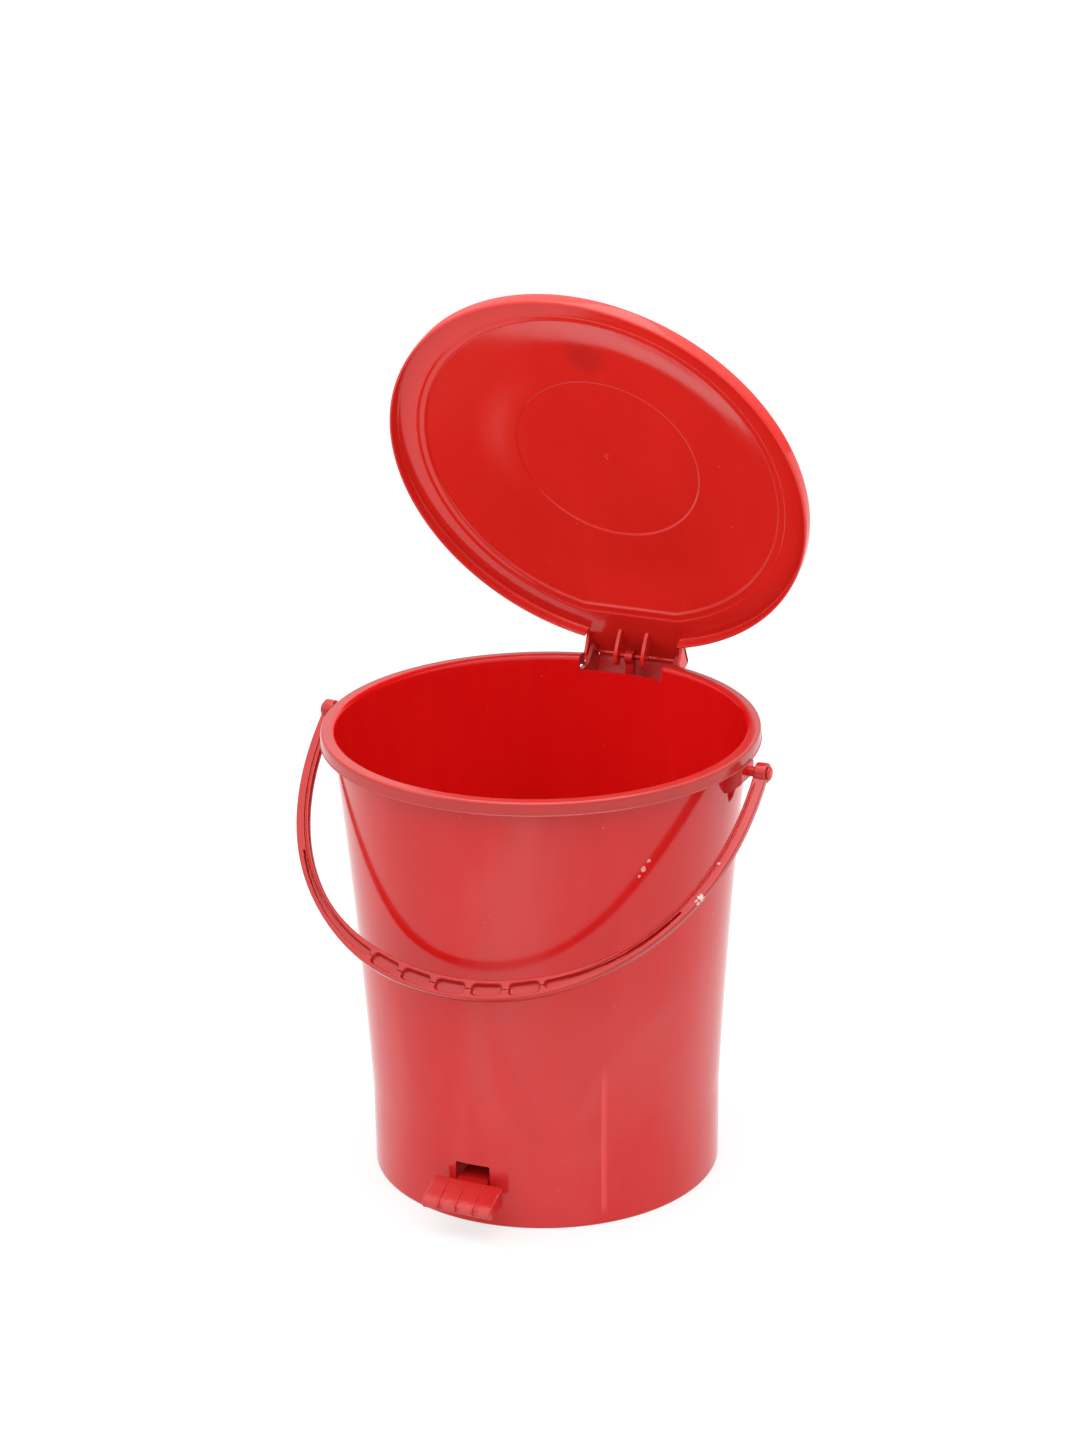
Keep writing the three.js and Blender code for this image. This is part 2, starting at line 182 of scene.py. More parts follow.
def turned(name, profile, sides=96, centre=(0, 0, 0), along="z"):
    # a profile of (radius, height) turned about an axis: x = r cos a, y = r sin a, z = h
    profile = np.array(profile, float)
    angle = np.linspace(0, 2 * np.pi, sides, endpoint=False)
    radius, height = profile[:, 0], profile[:, 1]
    ring = np.stack([np.outer(np.cos(angle), radius), np.outer(np.sin(angle), radius),
                     np.broadcast_to(height, (sides, len(height)))], -1)
    if along == "x":
        ring = ring[..., [2, 0, 1]]
    faces = gridFaces(sides, len(profile), wrapRows=True, wrapColumns=True)
    return newMesh(name, ring + np.array(centre, float), faces, weld=True)


def barProfile(radius, start, end, edge=0.3):
    # half outline of a round bar with rounded ends
    corners = [(0, start), (radius, start), (radius, end), (0, end)]
    return rounded(corners, edge, closed=False)


def box(name, low, high):
    (x0, y0, z0), (x1, y1, z1) = low, high
    return slab(name, [(y0, z0), (y1, z0), (y1, z1), (y0, z1)], x0, x1)


def combined(piece, operation, *tools):
    # cuts with or joins the tools, keeps the result in the piece's own mesh and removes the tools
    for tool in tools:
        change = piece.modifiers.new("work", "BOOLEAN")
        change.operation = operation
        change.object = tool
        change.solver = "EXACT"
        graph = bpy.context.evaluated_depsgraph_get()
        result = bpy.data.meshes.new_from_object(piece.evaluated_get(graph))
        piece.modifiers.clear()
        piece.data = result
        bpy.data.objects.remove(tool)
    return piece


def finished(piece, body, finish, nodes, bevel=0.0, sharp=32):
    # rounds or marks the sharp edges, gives the piece its finish and says what it stands for
    mesh = piece.data
    mesh.shade_smooth()
    if bevel:
        edge = piece.modifiers.new("edges", "BEVEL")
        edge.width = bevel * mm
        edge.segments = 2
        edge.limit_method = "ANGLE"
        edge.angle_limit = math.radians(sharp)
        edge.use_clamp_overlap = True
        level = piece.modifiers.new("flats", "WEIGHTED_NORMAL")
        level.weight = 60
    else:
        mesh.set_sharp_from_angle(angle=math.radians(sharp))
    mesh.materials.clear()
    mesh.materials.append(finish)
    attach(piece, body)
    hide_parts(*nodes)


# Shader maths: a term holds an output socket, and sums on terms add Math nodes

class Term:
    def __init__(self, finish, socket):
        self.finish = finish
        self.socket = socket

    def math(self, operation, *others):
        return self.finish.node("ShaderNodeMath", {"operation": operation}, dict(enumerate((self, *others))))

    def __add__(self, other):
        return self.math("ADD", other)

    def __sub__(self, other):
        return self.math("SUBTRACT", other)

    def __mul__(self, other):
        return self.math("MULTIPLY", other)

    def __rsub__(self, other):
        return self.finish.number(other).math("SUBTRACT", self)

    def __truediv__(self, other):
        return self.math("DIVIDE", other)

    def between(self, low, high):
        # 0 below low, 1 above high
        settings = {"interpolation_type": "SMOOTHSTEP"}
        inputs = {"Value": self, "From Min": low, "From Max": high}
        return self.finish.node("ShaderNodeMapRange", settings, inputs)


class Finish:
    def __init__(self, name):
        self.material = bpy.data.materials.new(name)
        self.material.use_nodes = True
        self.tree = self.material.node_tree
        self.shader = self.tree.nodes["Principled BSDF"]
        self.place = self.node("ShaderNodeTexCoord", output="Object")

    def node(self, kind, settings=None, inputs=None, output=0):
        made = self.tree.nodes.new(kind)
        for key, value in (settings or {}).items():
            setattr(made, key, value)
        for key, value in (inputs or {}).items():
            self.feed(made.inputs[key], value)
        return Term(self, made.outputs[output])

    def feed(self, socket, value):
        if isinstance(value, Term):
            self.tree.links.new(value.socket, socket)
        else:
            socket.default_value = value

    def number(self, value):
        return self.node("ShaderNodeMath", {"operation": "ADD"}, {0: value, 1: 0.0})

    def axes(self):
        # the three coordinates of the place, with y counted from the tub's axis
        parts = self.node("ShaderNodeSeparateXYZ", {}, {0: self.place}).socket.node
        x, y, z = (Term(self, output) for output in parts.outputs)
        return x, y - float(axisY), z

    def awayFrom(self, centre):
        # the distance from a point given in millimetres round the tub's axis
        point = tuple(np.array(centre) * mm + [0, axisY, 0])
        inputs = {0: self.place, 1: point}
        return self.node("ShaderNodeVectorMath", {"operation": "DISTANCE"}, inputs, "Value")

    def noise(self, scale, detail=3.0, stretch=(1, 1, 1), roughness=0.55, distortion=0.0):
        stretched = self.node("ShaderNodeMapping", {}, {"Vector": self.place, "Scale": stretch})
        inputs = {"Vector": stretched, "Scale": scale, "Detail": detail,
                  "Roughness": roughness, "Distortion": distortion}
        return self.node("ShaderNodeTexNoise", {}, inputs, "Fac")

    def mix(self, share, first, second):
        settings = {"data_type": "RGBA", "clamp_factor": True}
        return self.node("ShaderNodeMix", settings, {0: share, 6: first, 7: second}, 2)

    def bump(self, height, distance, strength=1.0, over=None):
        inputs = {"Height": height, "Distance": distance, "Strength": strength}
        if over is not None:
            inputs["Normal"] = over
        return self.node("ShaderNodeBump", {}, inputs, "Normal")

    def use(self, **sockets):
        for name, value in sockets.items():
            label = {"colour": "Base Color", "roughness": "Roughness", "normal": "Normal",
                     "metallic": "Metallic", "ior": "IOR"}[name]
            self.feed(self.shader.inputs[label], value)
        return self.material


def rgba(red, green, blue):
    return (red, green, blue, 1.0)


plasticLook = {
    "red": rgba(0.69, 0.0060, 0.0060),
    "deepRed": rgba(0.61, 0.0040, 0.0045),
    "paleRed": rgba(0.74, 0.024, 0.020),
    "scuff": rgba(0.86, 0.55, 0.52),
    "scuffing": 0.5,
}
tubLook = {
    **plasticLook,
    # the outer wall's red is painted darker than the inside, and the rim's darker still: painted shade
    # against the stronger light falling on them
    "outside": rgba(0.555, 0.0090, 0.0080),
    "outsideDeep": rgba(0.510, 0.0060, 0.0060),
    # painted sheen: a pale pink that stands in for the white reflections on the outer wall
    "hazeAndPaintedSheen": rgba(0.60, 0.42, 0.42),
    "shadedRim": rgba(0.40, 0.026, 0.022),
    "highlightStreak": rgba(0.78, 0.075, 0.065),
}
lidLook = {
    **plasticLook,
    "red": rgba(0.75, 0.026, 0.017),
    "deepRed": rgba(0.68, 0.020, 0.014),
    "smudge": rgba(0.36, 0.020, 0.018),
}
handleLook = {
    **plasticLook,
    "red": rgba(0.43, 0.015, 0.012),
    "deepRed": rgba(0.38, 0.010, 0.009),
    "scuffing": 0.9,
}
pedalLook = {
    **plasticLook,
    "red": rgba(0.49, 0.010, 0.008),
    "deepRed": rgba(0.44, 0.007, 0.006),
    "scuffing": 0.08,
}
shadedLook = {
    **plasticLook,
    "red": rgba(0.56, 0.006, 0.006),
    "deepRed": rgba(0.50, 0.004, 0.005),
}


def plastic(name, gloss, look, flow=(1, 1, 0.12), rubs=(), wear=0.5, isTub=False, smudge=None):
    # moulded red plastic: cloudy pigment, flow marks, an uneven gloss, hair scratches and pale rubbed spots
    f = Finish(name)
    cloud = f.noise(9, 4, flow, 0.6, 0.4)
    mottle = f.noise(60, 3, flow)
    grain = f.noise(900, 2)
    scratch = f.noise(140, 5, (1, 1, 0.03), 0.7, 0.2).between(0.60, 0.72)
    crossed = f.noise(120, 5, (0.05, 1, 0.6), 0.7, 0.3).between(0.62, 0.74)
    colour = f.mix(cloud.between(0.3, 0.7), look["deepRed"], look["red"])
    rough = cloud * 0.05 + mottle * 0.04 + scratch * (0.16 * wear) + crossed * (0.12 * wear) + (gloss - 0.045)
    if isTub:
        # the outer faces are duller than the inside, and the rim is the dullest; the outer faces are also
        # painted a darker red than the inside, and the rim darker still, as painted shade against the strong
        # light on them, with a painted pink sheen mixed in
        hazeAndPaintedSheen = f.noise(11, 3, (1, 1, 0.45), 0.5, 0.6).between(0.47, 0.68)
        outsideShadeAndSheen = f.mix(cloud.between(0.3, 0.7), look["outsideDeep"], look["outside"])
        # a pale pink painted sheen, mixed in by noise, stands in for the wall's white reflections
        outsideShadeAndSheen = f.mix(hazeAndPaintedSheen * 0.06, outsideShadeAndSheen, look["hazeAndPaintedSheen"])
        onRim, outside = tubZones(f)
        colour = f.mix(outside, colour, f.mix(onRim, outsideShadeAndSheen, look["shadedRim"]))
        rough = rough + outside * (hazeAndPaintedSheen * 0.05 + 0.025) + onRim * outside * 0.07
    colour = f.mix((mottle - 0.5) * 0.35 + 0.06, colour, look["paleRed"])
    if isTub:
        # a pale upright line painted on the outer wall as a highlight
        colour = f.mix(paintedHighlightStreak(f), colour, look["highlightStreak"])
    rubbed = None
    for centre, reach in rubs:
        spot = rubbedSpot(f, centre, reach)
        rubbed = spot if rubbed is None else rubbed.math("MAXIMUM", spot)
    if rubs:
        colour = f.mix(rubbed * look["scuffing"], colour, look["scuff"])
        rough = rough + rubbed * 0.4
    if smudge:
        centre, reach = smudge
        away = f.awayFrom(centre) + (mottle - 0.5) * 0.012
        colour = f.mix((1.0 - away.between(reach * mm * 0.35, reach * mm)) * 0.40, colour, look["smudge"])
    dust = f.noise(420, 2).between(0.76, 0.80)
    colour = f.mix(dust * (0.5 * wear), colour, look["scuff"])
    surface = f.bump(cloud + mottle * 0.25, 0.0006, 0.35)
    surface = f.bump(grain, 0.00002, 0.5, surface)
    return f.use(colour=colour, roughness=rough, normal=surface, ior=1.46)


def tubZones(f):
    # how far a place is up on the rim, and whether it is outside the middle of the tub's wall
    x, y, z = f.axes()
    radius = (x * x + y * y).math("SQRT")
    # the wall's outer radius is a quadratic of the height, in metres
    widening, lean, foot = 0.1124, 0.04134, 0.10297
    wall = z * z * widening + z * lean + foot
    onRim = z.between(0.2695, 0.2715)
    return onRim, (radius - wall - onRim * 0.0006).between(-0.0013, -0.0003)


def rubbedSpot(f, centre, reach):
    # a ragged pale mark round one place: nearness times a coarse noise, cut hard
    away = f.awayFrom(centre)
    ragged = f.noise(520, 3) * 0.9 + (1.0 - away / (reach * mm)) * 0.55
    return ragged.between(0.60, 0.66) * (1.0 - away.between(reach * mm * 0.8, reach * mm))


def paintedHighlightStreak(f):
    # a painted highlight: a faint pale upright line low on the wall, sharp on its left and fading to its
    # right
    angle, width = 42.4, 2.6
    low, high = 0.004, 0.108
    x, y, z = f.axes()
    bearing = x.math("ARCTAN2", y * -1.0) * (180 / math.pi)
    left = bearing.between(angle - 0.15, angle + 0.1)
    right = 1.0 - bearing.between(angle + 0.4, angle + width)
    height = z.between(low, low + 0.01) * (1.0 - z.between(high - 0.02, high))
    return left * right * height * 0.55


def steel(name):
    # zinc plated steel: bluish grey with drawn lines and dull patches
    f = Finish(name)
    patch = f.noise(160, 4)
    lines = f.noise(500, 2, (1, 0.08, 1))
    colour = f.mix(patch, rgba(0.46, 0.47, 0.48), rgba(0.66, 0.66, 0.64))
    rough = patch * 0.25 + lines * 0.12 + 0.16
    return f.use(colour=colour, roughness=rough, metallic=1.0, normal=f.bump(lines + patch, 0.00004, 0.5))


# rubbed spots: centre in millimetres round the tub's axis, and reach
tubRubs = [((97.7, -67.2, 232.0), 1.6), ((95.3, -69.9, 227.5), 2.4), ((93.5, -71.7, 223.5), 1.5)]
bailRubs = [((133.2, -48.7, 228.2), 1.9), ((129.0, -66.1, 213.7), 3.0), ((127.9, -68.4, 211.8), 2.2)]
treadRubs = [((x, -128.3, 20), radius) for x, radius in ((-17, 7.0), (-5, 6.0), (6, 7.0), (18, 6.5))]
lidSmudge = ((1.4, 66.7, 483.8), 17.0)
tubRed = plastic("glossyRedTub", 0.10, tubLook, rubs=tubRubs, isTub=True)
# the hinge box's darker red is painted shade
boxRed = plastic("dullShadedRedHingeBox", 0.42, shadedLook)
lidRed = plastic("glossyRedLid", 0.12, lidLook, flow=(1, 0.4, 0.4), wear=0.7, smudge=lidSmudge)
bailRed = plastic("glossyRedHandle", 0.20, handleLook, flow=(0.3, 1, 1), rubs=bailRubs, wear=0.8)
pedalRed = plastic("satinRedPedal", 0.30, pedalLook, flow=(1, 0.4, 1), rubs=treadRubs, wear=1.0)
pinRed = plastic("satinRedPins", 0.24, pedalLook)
zinc = steel("zincPlatedSteel")
print("finishes ready")


# Tub

tubSize = {
    "wall": 2.0,
    "outerWall": [(50, 105.3), (111, 109.0), (174, 113.5), (243, 119.7), (267, 122.0)],  # height, radius
    "footRadius": 105.0,
    "floorTop": 50.0,
    "lipRadius": 130.0,
    "sides": 288,
    "notch": (28.0, 269.5),  # half width, floor
    "window": (11.0, 12.0, 38.0),  # half width, bottom, top
    "rearSlot": (11.0, 8.0, 37.0),
}
wallHeights, wallRadii = np.array(tubSize["outerWall"]).T
wallCurve = np.polyfit(wallHeights, wallRadii, 2)


def wallRadius(height):
    # the wall leans out a little more with height: a quadratic through the measured radii
    height = np.asarray(height, float)
    skirt = tubSize["footRadius"] + (np.polyval(wallCurve, 50) - tubSize["footRadius"]) * height / 50
    return np.where(height < 50, skirt, np.polyval(wallCurve, np.maximum(height, 50)))


def tubProfile():
    wall = tubSize["wall"]
    floor = tubSize["floorTop"]
    under = [(0, floor - wall), (2.5, floor - wall), (3.1, floor - wall + 0.5), (4, floor - wall),
             (102.7, floor - wall), (102.5, 6), (101, 5), (101, 0.35), (101.4, 0)]
    foot = [(tubSize["footRadius"] - 0.5, 0), (tubSize["footRadius"], 0.5)]
    skirtHeights = np.arange(2, 267, 3.0)
    outside = np.stack([wallRadius(skirtHeights), skirtHeights], -1)
    edge = tubSize["lipRadius"]
    lip = [(122.4, 270.5), (123.6, 273.4), (124.6, 275.1), (125.4, 275.4), (127.2, 275.4), (127.8, 274.8),
           (127.8, 271.2), (128.1, 270.9), (edge + 0.25, 270.9), (edge + 0.3, 271.3), (edge - 0.05, 271.6),
           (edge, 275.4)]
    crest = [(edge, 275.4), (edge - 0.4, 278.4), (127.4, 279.1), (122.9, 279.0), (121.3, 277.2),
             (120.85, 274.2)]
    crest = rounded(crest, [0, 2.6, 2.6, 1.7, 1.7, 0], 8, closed=False)
    insideHeights = np.arange(272, 53, -3.0)
    inside = np.stack([wallRadius(insideHeights) - wall, insideHeights], -1)
    corner = rounded([inside[-1], (wallRadius(50) - wall, floor), (96, floor)], 3.5, 6, closed=False)
    middle = [(60, floor), (20, floor), (3.2, floor), (2.6, floor + 0.35), (1.6, floor + 0.5),
              (0, floor + 0.5)]
    parts = [under, foot, outside, lip, crest[1:], inside[:-1], corner, middle]
    return np.concatenate([np.array(part, float) for part in parts])


def roundedBox(name, x, y, z, radius=1.0, flatTop=False):
    # a cutter along Y whose upright corners seen from the front are rounded
    (x0, x1), (y0, y1), (z0, z1) = x, y, z
    topRadius = 0.01 if flatTop else radius
    outline = rounded([(x0, z0), (x1, z0), (x1, z1), (x0, z1)], [radius, radius, topRadius, topRadius], 5)
    return slab(name, outline, y0, y1, "xz")


def makeTub():
    tub = turned("tubShell", tubProfile(), tubSize["sides"])
    half, floor = tubSize["notch"]
    notch = roundedBox("notchCut", (-half, half), (90, 140), (floor, 290), 1.4, True)
    half, bottom, top = tubSize["window"]
    window = roundedBox("windowCut", (-half, half), (-115, -90), (bottom, top), 1.2)
    half, bottom, top = tubSize["rearSlot"]
    rear = roundedBox("rearCut", (-half, half), (90, 115), (bottom, top), 1.2)
    combined(tub, "DIFFERENCE", notch, window, rear)
    finished(tub, "bin", tubRed, ["bin_body"], bevel=0.28, sharp=48)


earSize = {"face": 131.0, "halfWidth": 9.0, "top": 271.6, "bottom": 256.5, "faceBottom": 262.5}


def makeEar(name, side):
    e = earSize
    outline = [(118.8, e["bottom"] - 2), (123.6, e["bottom"]), (e["face"], e["faceBottom"]),
               (e["face"], e["top"]), (121.5, e["top"]), (119.9, 265)]
    outline = rounded(outline, [0.3, 1.2, 1.0, 0.3, 0.3, 0.3], 4) * [side, 1]
    ear = slab(name, outline, -e["halfWidth"], e["halfWidth"], "xz")
    finished(ear, "bin", tubRed, ["bin_body"], bevel=0.5)
    # the web under the ear that runs down the wall
    web = [(119.2, 246), (121.2, 250), (124.2, 258.6), (119.6, 258.6)]
    web = slab(name + "Web", np.array(web) * [side, 1], -1.3, 1.3, "xz")
    finished(web, "bin", tubRed, ["bin_body"], bevel=0.35)


# the box behind the notch: outer face going up, inner face going down
boxOuter = [(113, 234.7), (142.5, 256.5), (147.4, 263), (149.4, 268.2), (150.9, 271)]
boxInner = [(149.1, 271), (147.5, 268.6), (145.4, 263.8), (141.7, 258.3), (113, 237.5)]
bracketRear = [(115.5, 236.6), (142.5, 256.5), (147.4, 263), (147.6, 268.5)]
bracketSpan = (27.3, 30.0)


def makeBracket(name, low, high):
    knuckle = arcPoints(hinge[1], hinge[2], 3.3, 0, 150, 12)
    edge = rounded(bracketRear, [0, 3.0, 1.8, 0.3], 5, closed=False)
    outline = [*edge, *knuckle, (131, 269.3), (118.5, 268.5), (117.4, 262)]
    plate = slab(name, outline, low, high)
    finished(plate, "bin", tubRed, ["bin_body"], bevel=0.35)


def makeHingeBoxBack():
    # the plate between the brackets, open in the middle for the rod and its cover
    outer = rounded([*boxOuter, boxInner[0]], [0, 3.0, 1.8, 2.0, 0.3, 0.3], 5, closed=False)[:-1]
    inner = rounded([boxOuter[-1], *boxInner], [0.3, 0.3, 2.0, 1.4, 2.4, 0], 5, closed=False)[1:]
    plate = slab("hingeBoxBack", np.concatenate([outer, inner]), -bracketSpan[0] - 0.4, bracketSpan[0] + 0.4)
    opening = box("openingCut", (-15.35, 100, 220), (15.35, 150, 258.35))
    low, high = 200, 269
    tubInside = [(0, low), (wallRadius(low) - 1, low), (wallRadius(high) - 1, high), (0, high)]
    inside = turned("insideCut", tubInside, 144)
    combined(plate, "DIFFERENCE", inside, opening)
    finished(plate, "bin", boxRed, ["bin_body"], bevel=0.3)


def makeAxleLug(name, low, high):
    lowerEnd = arcPoints(pedalPivot[1], pedalPivot[2], 7, 180, 360, 16)
    outline = [(pedalPivot[1] + 9, 49), (pedalPivot[1] - 9, 49), *lowerEnd]
    plate = slab(name, outline, low, high)
    finished(plate, "bin", tubRed, ["bin_body"], bevel=0.4)


makeTub()
makeHingeBoxBack()
for label, side in (("Right", 1), ("Left", -1)):
    makeEar("handleEar" + label, side)
    makeBracket("hingeBracket" + label, *sorted(edge * side for edge in bracketSpan))
    makeAxleLug("axleLug" + label, *sorted((11.0 * side, 14.0 * side)))
print("tub made")


# Rod cover, screws and bosses on the back of the tub

coverSize = {"halfWidth": 15.0, "bottom": 4.0, "top": 258.0, "rearBottom": 127.0,
             "rearTop": 143.0, "wall": 2.0, "gap": 0.35}
flangeSize = {"from": 10.0, "to": 233.0, "inner": 13.6, "outer": 26.0, "thickness": 1.8}
screwSpots = [(side, height) for height in (60.0, 225.0) for side in (-1, 1)]
screwAside = 20.5


def coverRear(height):
    c = coverSize
    share = (height - c["bottom"]) / (c["top"] - c["bottom"])
    return c["rearBottom"] + (c["rearTop"] - c["rearBottom"]) * share


def makeCover():
    # a channel: a U section whose legs reach the wall, carried up from bottom to top
    c = coverSize
    bottom, top = c["bottom"], c["top"]
    heights = np.concatenate([[bottom, bottom + 0.4], np.linspace(8, 254, 60), [top - 0.4, top]])
    sections = []
    for half, inset in ((c["halfWidth"], 0.0), (c["wall"] - c["halfWidth"], c["wall"])):
        # the loop runs out from the wall at share 0 to the rear face at share 1 and back
        loop = rounded([(-half, 0), (-half, 1), (half, 1), (half, 0)], [0, 0.1, 0.1, 0], 7, closed=False)
        x, share = loop.T
        wallY = np.sqrt((wallRadius(heights)[:, None] + c["gap"]) ** 2 - x ** 2)
        y = wallY + (coverRear(heights)[:, None] - inset - wallY) * share
        sections.append(np.stack(np.broadcast_arrays(x, y, heights[:, None]), -1))
    channel = carried("rodCoverChannel", np.concatenate(sections, axis=1))
    finished(channel, "bin", tubRed, ["rod_cover"], bevel=0.3, sharp=50)
    for label, way in (("Right", 1), ("Left", -1)):
        makeFlange(label, way)


def makeFlange(label, way):
    # a thin strip that follows the wall beside the channel
    f = flangeSize
    rows = np.linspace(f["from"], f["to"], 60)
    inner, outer, thick = f["inner"], f["outer"], f["thickness"]
    columns = rounded([(inner, 0), (outer, 0), (outer, thick), (inner, thick)], [0.1, 0.5, 0.5, 0.1], 4)
    columns = denser(columns, 1.6)
    radius = wallRadius(rows)[:, None] + coverSize["gap"] + columns[:, 1]
    angle = columns[:, 0] / wallRadius(rows)[:, None] * way
    z = np.broadcast_to(rows[:, None], radius.shape)
    strip = np.stack([radius * np.sin(angle), radius * np.cos(angle), z], -1)
    flange = carried("rodCoverFlange" + label, strip)
    finished(flange, "bin", tubRed, ["rod_cover"], bevel=0.3, sharp=50)


def onWall(points, side, height):
    # points made round the X axis, stood on the wall beside the cover
    radius = float(wallRadius(height))
    angle = math.pi / 2 - side * math.asin(screwAside / radius)
    out = np.array([math.cos(angle), math.sin(angle), 0])
    across = np.array([-math.sin(angle), math.cos(angle), 0])
    x, y, z = np.moveaxis(points, -1, 0)
    return (radius + x)[..., None] * out + y[..., None] * across + (z + height)[..., None] * [0, 0, 1]


def turnedOnWall(name, profile, side, height, sides):
    profile = np.array(profile, float)
    angle = np.linspace(0, 2 * np.pi, sides, endpoint=False)
    ring = np.stack([np.broadcast_to(profile[:, 1], (sides, len(profile))),
                     np.outer(np.cos(angle), profile[:, 0]), np.outer(np.sin(angle), profile[:, 0])], -1)
    faces = gridFaces(sides, len(profile), wrapRows=True)
    return newMesh(name, onWall(ring, side, height), faces, weld=True)


def makeScrew(index, side, height):
    dome = rounded([(1.2, 2.6), (4.8, 2.6), (4.6, 3.7), (0, 4.45)], [0, 0.3, 1.4, 0], 6, closed=False)
    head = [(0, 0.2), (1.2, 0.2), *dome]
    screw = turnedOnWall(f"coverScrew{index}", head, side, height, 48)
    cuts = []
    for number, (wide, tall) in enumerate(((2.5, 0.45), (0.45, 2.5))):
        ring = np.array([(-wide, -tall), (wide, -tall), (wide, tall), (-wide, tall)])
        corners = np.array([[(x, y, z) for y, z in ring] for x in (3.5, 6.0)])
        cuts.append(carried(f"crossCut{number}", onWall(corners, side, height)))
    combined(screw, "DIFFERENCE", *cuts)
    finished(screw, "bin", zinc, [f"cover_screw_{index}"], sharp=35)
    boss = rounded([(0, -1), (3.4, -1), (3.4, 2.2), (0, 2.2)], 0.3, 4, closed=False)
    boss = turnedOnWall(f"coverBoss{index}", boss, side, height, 36)
    finished(boss, "bin", tubRed, ["bin_body"])


makeCover()
for number, (side, height) in enumerate(screwSpots, 1):
    makeScrew(number, side, height)
print("rod cover made")


# Lid, worked out closed and then turned open about the hinge

lidSize = {
    "radius": 133.5,
    "underside": 279.5,
    "skirtBottom": 272.4,
    "shell": 1.8,
    "dome": [(0, 17), (20, 16.75), (40, 15.95), (58.1, 14.85), (59.3, 13.95), (75, 13.1), (85, 11.9),
             (90, 10.7), (97, 8.5), (105, 5.6), (112.6, 2.6), (113.5, 1.2), (117.2, 0.9), (118.2, 0),
             (131.2, 0)],
    "tab": {"halfWidth": 32.4, "front": 113.8, "rear": 148.0},
}


def opened(points):
    # turns points about the hinge, the front edge upwards
    points = np.array(points, float)
    y = points[..., 1] - hinge[1]
    z = points[..., 2] - hinge[2]
    c, s = math.cos(lidOpen), math.sin(lidOpen)
    return np.stack([points[..., 0], hinge[1] + y * c + z * s, hinge[2] - y * s + z * c], -1)


def openPiece(piece):
    # the same turn for a mesh that is already in the frame
    places = np.zeros(len(piece.data.vertices) * 3)
    piece.data.vertices.foreach_get("co", places)
    turnedOpen = opened(places.reshape(-1, 3) / mm - [0, axisY / mm, 0]) * mm + [0, axisY, 0]
    piece.data.vertices.foreach_set("co", turnedOpen.ravel())
    piece.data.update()
    return piece


def domeRise(radius):
    corners = [0, 8, 8, 0.5, 0.5, 6, 4, 2.4, 3, 3, 0.5, 0.5, 0.7, 0.7, 0]
    line = rounded(lidSize["dome"], corners, 6, closed=False)
    return np.interp(radius, line[:, 0], line[:, 1])


def makeLidShell():
    # a polar grid: the underside out to the flange, down and up the skirt, and back over the top
    s = lidSize
    tabHalf = s["tab"]["halfWidth"]
    near = np.radians(np.linspace(-17, 17, 110))
    far = np.linspace(math.radians(17), 2 * math.pi - math.radians(17), 212)[1:-1]
    angle = np.concatenate([near, far])[:, None]  # from the back, clockwise
    sine, cosine = np.sin(angle), np.cos(angle)
    # radii lie close together at the gate mark, at the ring and at the riser
    radii = np.concatenate([[0, 1.2, 1.8, 2.4, 3.2], np.linspace(6, 56, 12), np.linspace(57, 60.6, 14),
                            np.linspace(63, 104, 16), np.linspace(105.5, 119, 44),
                            np.linspace(120.5, 131, 9)])
    gate = 0.35 * (1 - smoothstep(1.2, 2.4, radii))
    x, y = radii * sine, radii * cosine
    # at the tab the riser runs straight across, so radii are stretched until it starts and ends on chords
    riserIn, riserOut, chordIn, chordOut = 112.6, 118.2, 108.4, 113.9
    spare = np.where(y > 0, np.maximum(riserIn - np.hypot(x, chordIn), 0), 0)
    before = radii + spare * smoothstep(88, chordIn, y)
    ramp = riserIn + (y - chordIn) * (riserOut - riserIn) / (chordOut - chordIn)
    beyond = np.where(np.abs(x) < 31.5, np.maximum(radii, np.minimum(ramp, 119)), radii)
    stretched = np.where(y < chordIn, before, beyond)
    under = s["underside"] + domeRise(stretched) - gate
    # a short tick at the right end of the chords
    tick = (1 - smoothstep(0.3, 0.8, np.abs(x - 32.6))) * smoothstep(104.4, 105.2, y)
    under = under - 0.4 * tick * (1 - smoothstep(109.0, 109.8, y))
    over = np.broadcast_to(s["underside"] + s["shell"] + domeRise(radii), x.shape)
    # the skirt's bottom rises to nothing where the tab leaves the rim
    outward = np.abs((s["radius"] - 0.5) * sine)
    gap = np.where(cosine > 0, 1 - smoothstep(tabHalf - 1.9, tabHalf - 1.1, outward), 0)
    bottom = s["skirtBottom"] + (s["underside"] - 0.05 - s["skirtBottom"]) * gap
    drop = np.array([0.0, 0.06, 0.5, 0.94, 1.0])
    innerR = np.array([131.35, 131.7, 131.75, 131.8, 132.1])
    innerZ = s["underside"] - 0.15 + (bottom - s["underside"] + 0.15) * drop
    outerR = s["radius"] - np.array([0.6, 0.2, 0.05, 0, 0, 0.15, 0.6, 1.4, 2.5])
    rise = np.array([0.0, 0.05, 0.3, 0.7])
    outerLow = bottom + (279.3 - bottom) * rise
    outerHigh = np.broadcast_to(np.array([279.6, 280.3, 280.85, 281.2, 281.3]), (len(angle), 5))
    outerZ = np.concatenate([outerLow, outerHigh], 1)
    radiusRow = np.concatenate([radii, innerR, outerR, radii[::-1]])
    z = np.concatenate([under, innerZ, outerZ, over[:, ::-1]], 1)
    r = np.broadcast_to(radiusRow, z.shape)
    points = np.stack([r * sine, r * cosine, z], -1)
    shell = newMesh("lidDome", opened(points), gridFaces(len(angle), len(radiusRow), True, True), weld=True)
    finished(shell, "lid", lidRed, ["lid"], sharp=50)


